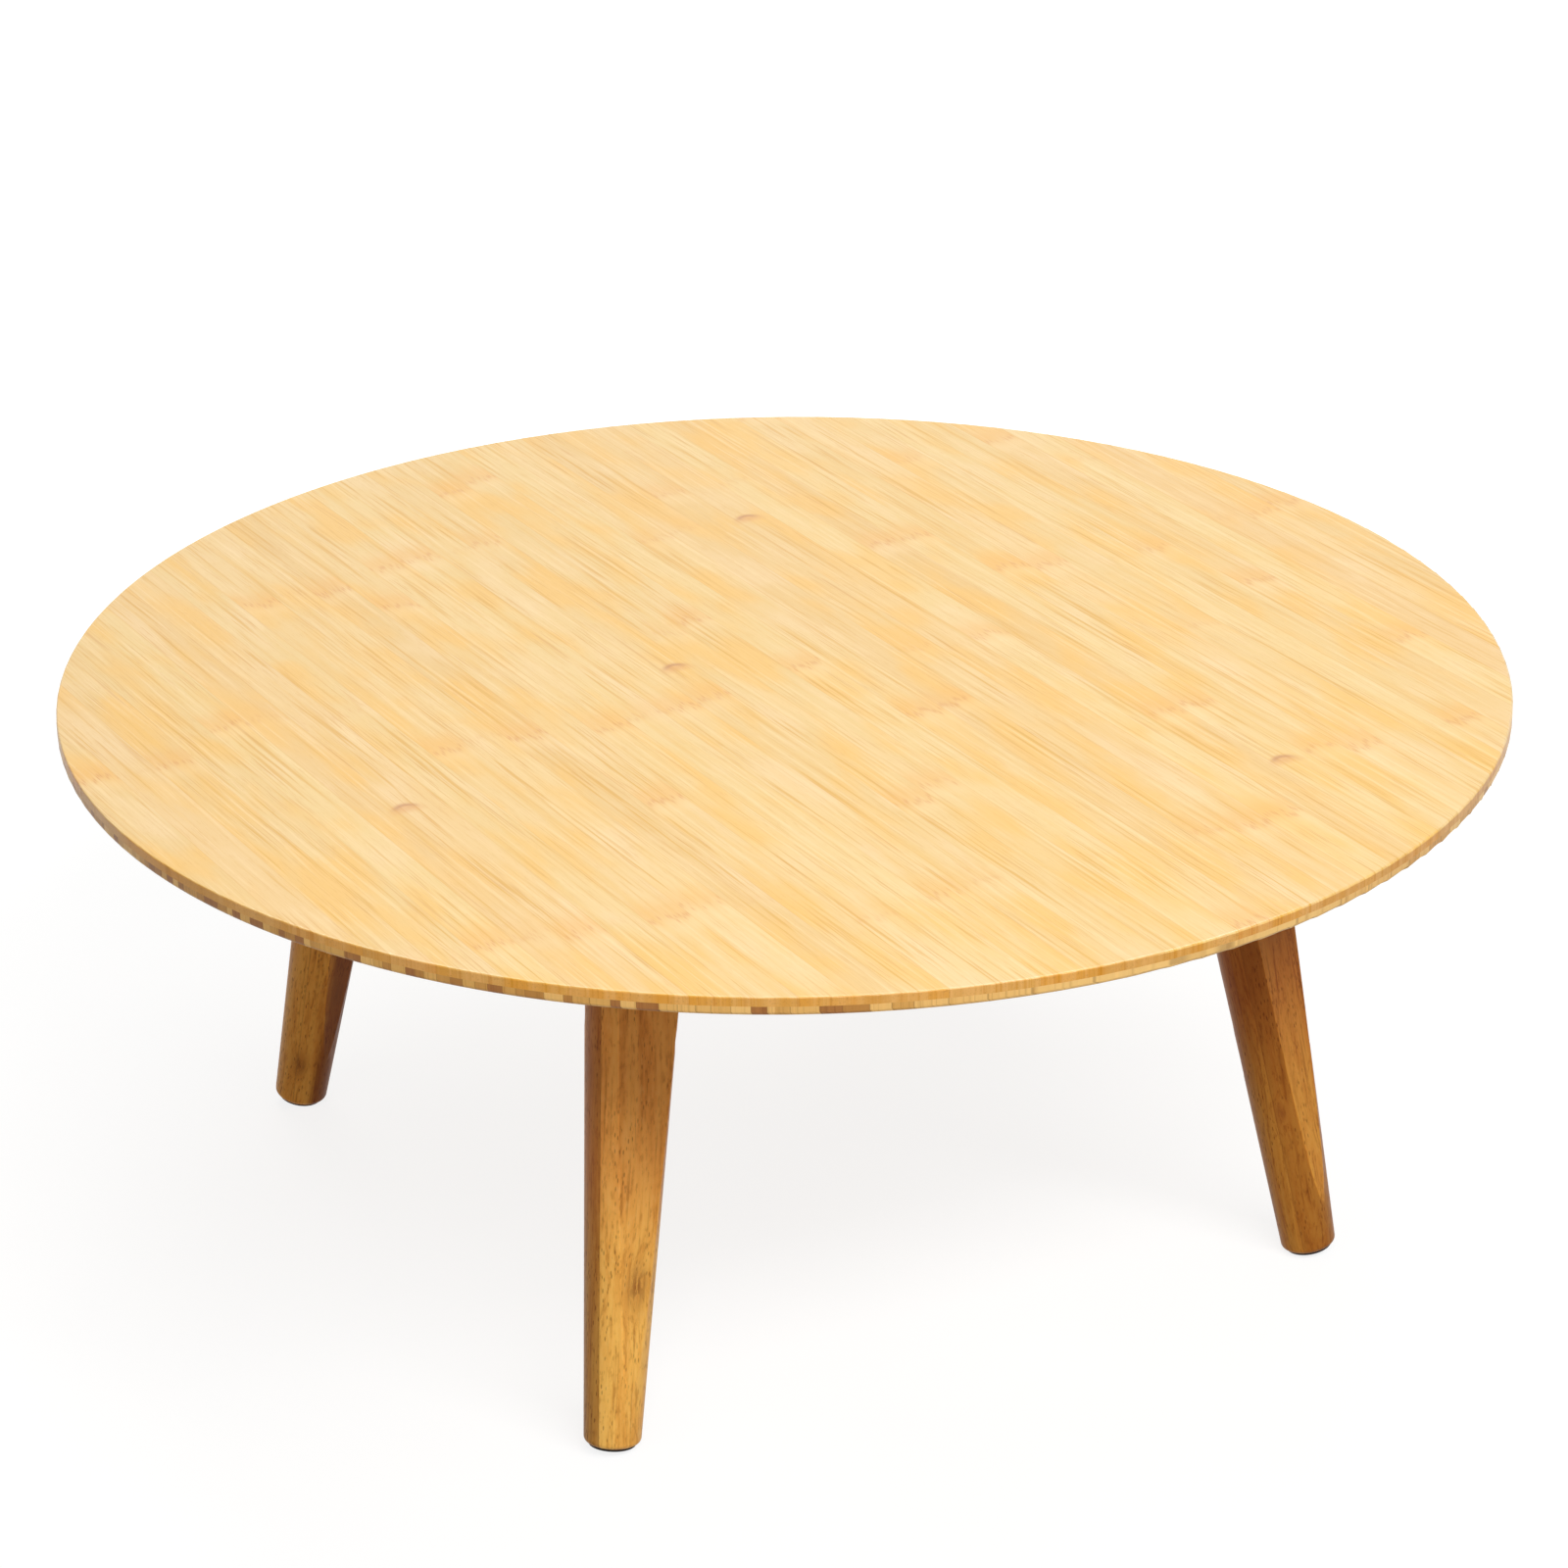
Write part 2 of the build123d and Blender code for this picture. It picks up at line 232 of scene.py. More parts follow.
# fibres: wide soft streaks, fine dark and pale lines, and short dashes of vessel bundles
wander = (place.point(strip * 3.7, along * 0.009, 0).cloud(1.0) - 0.5) * 2.2
fibre = across + wander
wide_streaks = place.point(fibre * 0.16, along * 0.006, strip * 7.7).cloud(2.0)
fine_lines = place.point(fibre * 0.44, along * 0.0085, strip * 0.3).cloud(2.0, 0.55)
hair_lines = place.point(fibre * 1.25, along * 0.016, strip * 0.7).cloud(2.0, 0.6)
dashes = place.point(fibre * 2.2, along * 0.09, strip * 1.7).cloud(1.0).rise(0.60, 0.72)
clear_lines = place.point(fibre * 0.035, along * 0.007, strip * 2.3).cloud(1.0).rise(0.30, 0.60)
long_marks = place.point(fibre * 0.50, along * 0.0075, strip * 5.9).cloud(1.0).rise(0.70, 0.78)
patches = place.point(across * 0.03, along * 0.012, strip * 0.9).cloud(2.0)

# each node is pale before its row of ticks and glows behind it
cane_stops = []
for first, node_at, pitch in canes:
    share = ((node_at + top_width / 2) / top_width, pitch / longest_pitch, 0, 1)
    cane_stops.append(((first + strip_count / 2) / strip_count, share))
cane_table = ((strip + strip_count / 2) / strip_count + 0.001).ramp(*cane_stops, blend="CONSTANT")
cane_at, cane_pitch, _ = cane_table.split()
cane_at = cane_at * top_width - top_width / 2 + (step_luck - 0.5) * node_shift
cane_pitch = cane_pitch * longest_pitch
turns = (along - cane_at) / cane_pitch
node_number = turns.math("ROUND")
sway = place.point(across * 0.11, node_number * 2.3, strip * 4.4).cloud(1.0) - 0.5
from_node = (turns - node_number) * cane_pitch + sway * 15
clear_node = place.point(strip, node_number, 7).dice()[0].rise(0.1, 0.7)
tick = (across / tick_width).math("FLOOR")
tick_luck, tick_clear, _ = place.point(tick, node_number, strip).dice()
tick_side = (across / tick_width).math("FRACT") - 0.5
ticks = (from_node + (tick_luck - 0.5) * tick_scatter).hump(tick_length) * tick_side.hump(0.42)
node_line = ticks * tick_clear.rise(0.15, 0.7) * (clear_node * 0.8 + 0.2)
node_blush = (from_node - 8).hump(13) * clear_node
node_pale = (from_node + 9).hump(10) * clear_node

bamboo = shade_luck.ramp(
    (0.0, tint(221, 184, 110)),
    (0.5, tint(225, 191, 119)),
    (1.0, tint(218, 177, 101)),
)
bamboo = bamboo.toward(tint(227, 185, 117), hue_luck.rise(0.4, 1.0) * 0.5)
bamboo = bamboo.toward(tint(234, 198, 134), wide_streaks.rise(0.52, 0.74) * 0.4)
bamboo = bamboo.toward(tint(218, 166, 44), wide_streaks.rise(0.50, 0.28) * 0.4)
bamboo = bamboo.toward(tint(230, 174, 52), patches.rise(0.45, 0.68) * 0.6)
bamboo = bamboo.toward(tint(230, 197, 142), patches.rise(0.46, 0.26) * 0.5)
bamboo = bamboo.toward(tint(208, 153, 16), fine_lines.rise(0.56, 0.68) * (clear_lines * 0.6 + 0.18))
bamboo = bamboo.toward(tint(238, 205, 144), fine_lines.rise(0.45, 0.32) * 0.4)
bamboo = bamboo.toward(tint(200, 140, 14), hair_lines.rise(0.57, 0.70) * (clear_lines * 0.5 + 0.16))
bamboo = bamboo.toward(tint(196, 134, 12), long_marks * 0.45)
bamboo = bamboo.toward(tint(198, 138, 16), dashes * 0.25)
bamboo = bamboo.toward(tint(238, 205, 144), node_pale * 0.25)
bamboo = bamboo.toward(tint(224, 160, 48), node_blush * 0.4)
bamboo = bamboo.toward(tint(200, 124, 18), node_line * 0.6)
bamboo = bamboo.toward(tint(204, 146, 30), seam * 0.28)
for scar_across, scar_along in bud_scars:
    off_across, off_along = across - scar_across, along - scar_along
    curved = off_along + off_across * off_across * 0.035
    ring = place.point(off_across / scar_width, curved / scar_length, 0).length()
    lip = (ring - 0.6).hump(0.33) * off_along.rise(-3.0, 3.0)
    bamboo = bamboo.toward(tint(208, 142, 56), ring.rise(1.5, 0.3) * 0.55)
    bamboo = bamboo.toward(tint(166, 100, 28), lip * 0.6)

# the turned rim drinks more lacquer: darker, with the bundles as points and faint seams
rim = normal.dot((0, 0, 1)).math("ABSOLUTE").rise(0.85, 0.35)
bundles = place.point(across * 1.1, along * 1.1, height_in_top).cloud(2.0, 0.6)
nearest_seam = (across / strip_width).math("ROUND")
seam_luck = place.point(strip, nearest_seam, along.rise(-1, 1)).dice()[1]
rim_bamboo = bamboo * tint(254, 225, 186)
rim_bamboo = rim_bamboo.toward(tint(238, 182, 106), wide_streaks.rise(0.45, 0.7) * 0.4)
rim_bamboo = rim_bamboo.toward(tint(170, 108, 48), bundles.rise(0.54, 0.72) * 0.35)
rim_bamboo = rim_bamboo.toward(tint(132, 78, 34), seam * seam_luck.rise(0.5, 0.9) * 0.1)
bamboo = bamboo.toward(rim_bamboo, rim)

lacquer_waves = (place * 0.028).cloud(1.0)
gloss = 0.30 + fine_lines * 0.08 + dashes * 0.06 + seam * 0.10 + rim * 0.10
relief = lacquer_waves * 0.05 - fine_lines * 0.008 - dashes * 0.004 - seam * 0.02 - node_line * 0.02
spread(shader, bamboo, gloss, relief)
lacquer = 0.78 - rim * 0.58
shader.id_data.links.new(lacquer.socket, shader.inputs["Coat Weight"])
dress("upper_ply", upper_finish)

# --- Lower ply of the round top ---
# Narrow strips of natural and steamed bamboo, 3 to 8 mm wide, glued on edge crosswise
# under the upper ply. Their cut ends and sides make the light and dark blocks in the rim.

lower_strip = 5.4
shortest_piece = 420
piece_spread = 200

lower_finish, shader, place, normal = new_finish(
    "mixed_bamboo_lacquer", Coat_Weight=0.1, Coat_Roughness=0.2, Specular_IOR_Level=0.25
)
along = place.dot((cos(grain_turn), sin(grain_turn), 0))
across = place.dot((-sin(grain_turn), cos(grain_turn), 0))
row = {"W": across / lower_strip, "Scale": 1.0}
settings = {"voronoi_dimensions": "1D", "feature": "F1"}
cell = across.node("ShaderNodeTexVoronoi", settings, row, "W")
settings = {"voronoi_dimensions": "1D", "feature": "DISTANCE_TO_EDGE"}
edge = across.node("ShaderNodeTexVoronoi", settings, row, "Distance")
seam = edge.rise(0.04, 0.01)

# a strip is made of pieces 420 to 620 mm long, each with its own shade; the front edge has
# natural strips only, and the left side is darker with painted shade
shade_luck, length_luck, joint_luck = (cell * 10).math("ROUND").dice()
piece = (along + joint_luck * 600) / (length_luck * piece_spread + shortest_piece)
past_front = across.rise(-394, -372)
# painted shade: the strips on the left side are darkened, as that side faces away from the lamps
left_painted_shade = along.rise(-170, -330)
shade_luck = place.point(shade_luck * 9, piece.math("FLOOR"), 3).dice()[0] * past_front
shade_luck = shade_luck + left_painted_shade * 0.22
fine_lines = place.point(along * 0.009, across * 0.9, cell * 3.7).cloud(3.0, 0.6)
hair_lines = place.point(along * 0.03, across * 2.2, cell * 5.3).cloud(2.0, 0.6)
steamed = shade_luck.ramp(
    (0.0, tint(244, 198, 122)),
    (0.30, tint(237, 186, 108)),
    (0.50, tint(222, 169, 90)),
    (0.70, tint(209, 153, 78)),
    (0.86, tint(189, 133, 64)),
    (1.0, tint(165, 108, 53)),
)
steamed = steamed.toward(steamed * tint(214, 198, 174), fine_lines.rise(0.52, 0.75) * 0.7)
steamed = steamed.toward(steamed * 1.22, fine_lines.rise(0.45, 0.25) * 0.5)
steamed = steamed.toward(steamed * tint(206, 188, 162), hair_lines.rise(0.56, 0.72) * 0.5)
steamed = steamed.toward(tint(120, 76, 36), seam * 0.4)
gloss = 0.38 + fine_lines * 0.1 + seam * 0.1
relief = 0 - fine_lines * 0.012 - seam * 0.04 + shade_luck * 0.01
spread(shader, steamed, gloss, relief)
dress("lower_ply", lower_finish)

# --- Wedge blocks ---
# Blocks of bamboo board, screwed up against the top, planed to the rake of the bracket.
# The board's layers show as bands on the sides, and its strips on the raked face.

corners = {
    "front_left": (-1, -1),
    "front_right": (1, -1),
    "rear_left": (-1, 1),
    "rear_right": (1, 1),
}
board_layer = 6.5
stick_width = 9.0
stick_offset = 7.3

block_finish, shader, place, normal = new_finish("bamboo_board_oil", Specular_IOR_Level=0.3)
x, y, z = (place.dot(way) for way in ((1, 0, 0), (0, 1, 0), (0, 0, 1)))
layer = (z / board_layer).math("FLOOR")
glue = ((z / board_layer).math("FRACT") - 0.5).math("ABSOLUTE").rise(0.46, 0.5)
crosswise = (layer / 2).math("FRACT") * 2
lay = x + (y - x) * crosswise
side = y + (x - y) * crosswise
sticks = (side + layer * stick_offset) / stick_width
stick = sticks.math("FLOOR")
stick_seam = (sticks.math("FRACT") - 0.5).math("ABSOLUTE").rise(0.47, 0.5)
stick_luck = place.point(stick, layer, 0).dice()[0]
fibres = place.point(side * 0.8, lay * 0.012, layer * 3.1 + stick * 1.7).cloud(3.0, 0.6)
board = stick_luck.ramp(
    (0.0, tint(206, 150, 84)),
    (0.5, tint(218, 164, 98)),
    (1.0, tint(192, 134, 72)),
)
board = board.toward(tint(168, 108, 54), fibres.rise(0.53, 0.74) * 0.55)
board = board.toward(tint(234, 186, 120), fibres.rise(0.46, 0.28) * 0.4)
board = board.toward(tint(112, 66, 30), (glue + stick_seam).math("MINIMUM", 1.0) * 0.5)
relief = 0 - fibres * 0.02 - glue * 0.05 - stick_seam * 0.03
spread(shader, board, 0.52 + fibres * 0.12, relief)
for corner in corners:
    dress(f"{corner}_wedge_block", block_finish)

# --- Clevis brackets and stop pins ---
# 2.5 mm sheet steel, a base plate with two welded cheeks, powder coated black after
# welding. The bolt's head and nut have rubbed a bright ring on the cheeks.

# lengths are metres for the corners' places and mm for the hinge; the hinges are turned
# in plan, and those at front right and rear left are turned further
leg_splay = radians(11.24)
fold_yaw = radians(6.5)
wide_fold_yaw = radians(18.5)
bracket_rake = radians(7)
pivot_height = 0.264
foot_spread = 0.218
cheek_outside = 20.05
plate_face = 29.0
sheet_thickness = 2.5
bolt_head_edge = 8.2
weld_start = -34.0
weld_end = 22.4
weld_pitch = 0.85
weld_ripples = 66
weld_radius = 1.9
cross_arm = 0.5
cross_depth = 1.9


def corner_frame(corner, rake=0.0):
    """Millimetres from the pivot: X to the fold side, Y along the bolt and Z up the leg,
    or square to the bracket's plate when it is raked."""
    side_x, side_y = corners[corner]
    yaw = fold_yaw if side_x == side_y else wide_fold_yaw
    lean = tan(leg_splay) / sqrt(2)
    up_leg = Vector((-side_x * lean, -side_y * lean, 1)).normalized()
    fold_way = Vector((-side_x * cos(yaw), -side_x * sin(yaw), 0))
    bolt_way = up_leg.cross(fold_way).normalized()
    reach = foot_spread - lean * pivot_height
    turn = Matrix((bolt_way.cross(up_leg), bolt_way, up_leg)).transposed().to_4x4()
    pivot = Matrix.Translation((side_x * reach, side_y * reach, pivot_height))
    return pivot @ turn @ Matrix.Rotation(-rake, 4, "Y") @ Matrix.Scale(0.001, 4)


def local_finish(corner, rake, name, **fixed):
    """A finish whose x, y and z are the corner's own, in mm."""
    finish, shader, place, normal = new_finish(name, **fixed)
    frame_here = corner_frame(corner, rake)
    ways = [frame_here.col[i].xyz.normalized() for i in range(3)]
    from_pivot = place - tuple(frame_here.translation * 1000)
    return finish, shader, normal, ways, [from_pivot.dot(way) for way in ways]


def turned(name, rings, places, sides=48):
    """A solid turned about Z, copied to each place. A ring is a radius, a height and its
    form: 0 is round, 6 is hexagonal and "cross" is pressed in by a cross recess."""
    work = bmesh.new()
    for where in places:
        loops = []
        for radius, height, form in rings:
            loop = []
            for number in range(sides):
                angle = 2 * pi * number / sides
                across_flats = cos(angle % (pi / 3) - pi / 6) if form == 6 else 1
                x, y = radius / across_flats * cos(angle), radius / across_flats * sin(angle)
                pressed = form == "cross" and min(abs(x), abs(y)) < cross_arm
                depth = (cross_depth - 0.5 * radius) * pressed
                loop.append(work.verts.new(where @ Vector((x, y, height + depth))))
            loops.append(loop)
        for low, high in zip(loops, loops[1:]):
            for number in range(sides):
                after = (number + 1) % sides
                work.faces.new((low[number], low[after], high[after], high[number]))
        if rings[0] != rings[-1]:
            work.faces.new(loops[0])
            work.faces.new(loops[-1])
    bmesh.ops.remove_doubles(work, verts=work.verts, dist=0.000002)
    bmesh.ops.recalc_face_normals(work, faces=work.faces)
    mesh = bpy.data.meshes.new(name)
    work.to_mesh(mesh)
    work.free()
    mesh.shade_smooth()
    mesh.set_sharp_from_angle(angle=radians(32))
    piece = bpy.data.objects.new(name, mesh)
    bpy.context.scene.collection.objects.link(piece)
    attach(piece, "table_top")
    return piece


for corner in corners:
    coat, shader, normal, ways, (x, y, z) = local_finish(
        corner, bracket_rake, f"{corner}_powder_coat", Specular_IOR_Level=0.5
    )
    place = x.point(x, y, z)
    peel = (place * 0.9).cloud(2.0)
    speck = (place * 3.1).cloud(1.0).rise(0.62, 0.74)
    dust = (place * 0.05).cloud(3.0, 0.6).rise(0.5, 0.8)
    from_bolt = x.point(x, 0, z).length()
    rubbed = (from_bolt - bolt_head_edge).hump(0.8) * (place * 0.16).cloud(3.0).rise(0.36, 0.62)
    black = peel.ramp((0.3, tint(30, 30, 31)), (0.7, tint(42, 42, 44)))
    black = black.toward(tint(76, 76, 78), speck * 0.35)
    black = black.toward(tint(98, 94, 88), dust * 0.22)
    black = black.toward(tint(132, 132, 134), rubbed * 0.6)
    gloss = 0.42 + peel * 0.15 + dust * 0.15 - rubbed * 0.1
    spread(shader, black, gloss, peel * 0.06 + speck * 0.01)
    dress(f"{corner}_bracket", coat)

    # a weld bead runs along the foot of each cheek
    along_plate = Matrix.Rotation(pi / 2, 4, "Y")
    here = corner_frame(corner, bracket_rake)
    feet = []
    for edge in (-cheek_outside, cheek_outside):
        feet.append(here @ Matrix.Translation((0, edge, plate_face)) @ along_plate)
    bead = [(0.4, weld_start - 0.8, 0)]
    for step in range(weld_ripples):
        bead.append((weld_radius - 0.35 * (step % 2), weld_start + step * weld_pitch, 0))
    bead.append((0.4, weld_end, 0))
    weld = turned(f"{corner}_welds", bead, feet, sides=14)
    weld.data.materials.append(coat)

zinc, shader, place, normal = new_finish("bright_zinc", Metallic=1.0)
mottle = (place * 0.35).cloud(3.0, 0.6)
scratch = (place * 4.5).cloud(2.0, 0.7)
bloom = (place * 0.09).cloud(2.0).rise(0.5, 0.75)
plated = mottle.ramp(
    (0.3, tint(196, 200, 204)),
    (0.6, tint(214, 216, 216)),
    (0.8, tint(204, 202, 192)),
)
plated = plated.toward(tint(160, 160, 156), bloom * 0.35)
gloss = 0.28 + mottle * 0.14 + scratch * 0.12 + bloom * 0.12
spread(shader, plated, gloss, scratch * 0.012)
for corner in corners:
    dress(f"{corner}_stop_pin", zinc)

# --- Pivot bolts and lock nuts ---
# M8 furniture bolts with a domed head and a 5 mm hexagon socket, and 13 mm nuts with a
# nylon ring that keeps them from turning when the leg swings.

shank = 4.0
thread_root = 3.45
thread_crest = 3.95
thread_pitch = 1.25
thread_turns = 7
thread_start = 0.55
head_radius = 8.0
head_top = cheek_outside + 4.6
dome_round = 2.76
hex_socket = 2.5
nut_radius = 6.5
nut_end = cheek_outside + 8.0
bolt_end = nut_end + 2.4

thread = []
for step in range(2 * thread_turns + 1):
    ridge = thread_crest if step % 2 else thread_root
    thread.append((ridge, -bolt_end + thread_start + step * thread_pitch / 2, 0))
dome = []
for step in range(7):
    angle = radians(15 * step)
    outward, upward = dome_round * cos(angle), dome_round * sin(angle)
    dome.append((head_radius - dome_round + outward, head_top - dome_round + upward, 0))
bolt_rings = [
    (0.01, -bolt_end, 0),
    (3.2, -bolt_end, 0),
    *thread,
    (shank, -cheek_outside + 1, 0),
    (shank, cheek_outside, 0),
    (head_radius - 0.3, cheek_outside, 0),
    (head_radius, cheek_outside + 0.4, 0),
    *dome,
    (3.5, head_top, 0),
    (hex_socket + 0.05, head_top - 0.12, 6),
    (hex_socket, head_top - 0.4, 6),
    (hex_socket, head_top - 2.6, 6),
    (0.01, head_top - 3.2, 0),
]
nut_rings = [
    (4.1, -cheek_outside, 0),
    (6.1, -cheek_outside, 0),
    (nut_radius - 0.05, -cheek_outside - 0.35, 6),
    (nut_radius, -cheek_outside - 0.7, 6),
    (nut_radius, -cheek_outside - 5.2, 6),
    (6.3, -cheek_outside - 5.7, 0),
    (5.95, -cheek_outside - 6.0, 0),
    (5.9, -nut_end + 1.0, 0),
    (5.6, -nut_end + 0.3, 0),
    (5.1, -nut_end, 0),
    (4.9, -nut_end + 0.25, 0),
    (4.9, -cheek_outside - 2, 0),
    (4.1, -cheek_outside, 0),
]
collar_rings = [
    (4.9, -nut_end + 2.5, 0),
    (4.9, -nut_end + 0.35, 0),
    (4.6, -nut_end + 0.15, 0),
    (4.2, -nut_end + 0.3, 0),
    (3.9, -nut_end + 0.8, 0),
    (3.9, -nut_end + 2.5, 0),
    (4.9, -nut_end + 2.5, 0),
]
blue_nylon, shader, place, normal = new_finish("blue_nylon", Specular_IOR_Level=0.4)
haze = (place * 1.2).cloud(2.0)
blue = haze.ramp((0.3, tint(38, 84, 148)), (0.7, tint(58, 108, 172)))
spread(shader, blue, 0.4 + haze * 0.2, haze * 0.02)
for corner in corners:
    axle = corner_frame(corner) @ Matrix.Rotation(-pi / 2, 4, "X")
    bolt = turned(f"{corner}_bolt_with_socket", bolt_rings, [axle])
    nut = turned(f"{corner}_nut_with_collar", nut_rings, [axle])
    collar = turned(f"{corner}_nut_nylon", collar_rings, [axle])
    bolt.data.materials.append(zinc)
    nut.data.materials.append(zinc)
    collar.data.materials.append(blue_nylon)
    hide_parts(f"{corner}_pivot_bolt")
    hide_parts(f"{corner}_lock_nut")

# --- Wood screws and spring rivets ---
# Four countersunk cross-recess screws hold each bracket to its block, two round-headed
# ones hold each block to the top, and two domed rivets hold each spring to its plate.

# mm from the pivot, square to the plate; the block screws' seat is metres above the floor
plate_screws = ((-27, -25.5), (-27, 25.5), (41, -25.5), (41, 25.5))
block_screws = (-38.5, 58.5)
screw_seat = 0.303
spring_rivets = ((41, -4), (41, 4))
plate_back = plate_face + sheet_thickness
spring_face = plate_face - 0.8

recess = [step / 4 for step in range(11, 0, -1)]
countersunk = [
    (0.1, 11.0, 0),
    (0.5, 10.4, 0),
    (2.0, 8.6, 0),
    (2.0, 2.0, 0),
    (3.9, 0.1, 0),
    (3.85, 0.0, 0),
    *[(radius, 0.0, "cross") for radius in recess],
]
round_head = [
    (0.1, 14.0, 0),
    (2.25, 11.6, 0),
    (2.25, 0.0, 0),
    (4.3, 0.0, 0),
    (4.5, -0.3, 0),
    (4.5, -1.5, 0),
    (4.2, -2.2, 0),
    (3.7, -2.65, 0),
    (3.1, -2.88, 0),
    *[(radius, -3.0 + radius * 0.03, "cross") for radius in recess],
]
domed = [
    (1.6, plate_back, 0),
    (1.6, spring_face, 0),
    (3.0, spring_face, 0),
    (2.95, spring_face - 0.25, 0),
    (2.6, spring_face - 0.6, 0),
    (2.0, spring_face - 0.85, 0),
    (1.2, spring_face - 0.98, 0),
    (0.3, spring_face - 1.0, 0),
]

bracket_screw_places, block_screw_places, rivet_places = [], [], []
for corner in corners:
    here = corner_frame(corner, bracket_rake)
    for x, y in plate_screws:
        twist = Matrix.Rotation(0.7 * x + y, 4, "Z")
        bracket_screw_places.append(here @ Matrix.Translation((x, y, plate_face)) @ twist)
    for x in block_screws:
        seat = here @ Vector((x, 0, plate_back))
        upright = Matrix.Translation((seat.x, seat.y, screw_seat)) @ Matrix.Scale(0.001, 4)
        block_screw_places.append(upright @ Matrix.Rotation(seat.x * 40, 4, "Z"))
    for x, y in spring_rivets:
        rivet_places.append(here @ Matrix.Translation((x, y, 0)))
for name, rings, places, node in (
    ("cross_recess_screws", countersunk, bracket_screw_places, "bracket_screws"),
    ("round_head_screws", round_head, block_screw_places, "block_screws"),
    ("domed_rivets", domed, rivet_places, "spring_rivets"),
):
    fasteners = turned(name, rings, places)
    fasteners.data.materials.append(zinc)
    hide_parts(node)

# --- Detent springs ---
# Strips of 0.8 mm blued spring steel. The heel of the leg has polished the free end
# where it clicks past, and the blue turns to straw at the bend.

for corner in corners:
    blued, shader, normal, ways, (x, y, z) = local_finish(
        corner, bracket_rake, f"{corner}_blued_steel", Metallic=1.0
    )
    brushed = x.point(x * 0.05, y * 4.5, z * 1.5).cloud(3.0, 0.6)
    temper = x.point(x * 0.06, y * 0.08, 0).cloud(2.0) * 8 + x
    steel = (temper / 60 + 0.2).ramp(
        (0.0, tint(118, 122, 134)), (0.25, tint(70, 78, 104)), (0.5, tint(84, 84, 110)),
        (0.62, tint(136, 112, 84)), (0.8, tint(76, 86, 116)), (1.0, tint(94, 100, 118)),
    )
    steel = steel.toward(tint(196, 196, 192), x.hump(7) * brushed.rise(0.35, 0.6) * 0.75)
    spread(shader, steel, 0.24 + brushed * 0.22, brushed * 0.012)
    dress(f"{corner}_detent_spring", blued)

# --- Legs ---
# Three boards of steamed bamboo are glued side by side, turned to a taper, planed flat on
# both sides for the cheeks, stained golden brown and lacquered. The foot is cut square.

glue_plane = 7.6
flat_plane = 16.5

# for each leg: its tint, where the front-right leg's darker, redder tint is partly painted shade;
# how dark its three boards, its planed flats and its inner side are, where the front-right
# leg's darker rounds and the rear-left leg's dark inner side are painted shade; and its knots
# as x, y, z and size in mm
leg_boards = {
    "front_left": (
        tint(255, 255, 250),
        (0.0, 0.6, 0.2, 0.0, 0.0),
        ((0.4, -16.4, -174, 7.0), (-19.5, 4.0, -60, 5.0)),
    ),
    # painted shade: this leg's darker, redder tint, and its darker rounds beside the lighter flats
    "front_right": (
        tint(219, 198, 166),
        (0.3, 0.3, 0.55, 0.0, 0.0),
        ((15.4, 10.5, -174, 3.5), (3.0, 16.4, -60, 6.0)),
    ),
    # painted shade: this leg's dark inner side, under the top
    "rear_left": (
        tint(246, 228, 206),
        (0.0, 0.0, 0.0, 0.1, 0.88),
        ((1.2, -16.4, -186, 6.0), (-13.7, -8.7, -236, 4.5)),
    ),
    "rear_right": (
        tint(236, 222, 200),
        (0.2, 0.4, 0.3, 0.1, 0.2),
        ((-17.0, 2.0, -120, 6.0), (5.0, 15.0, -200, 4.0)),
    ),
}

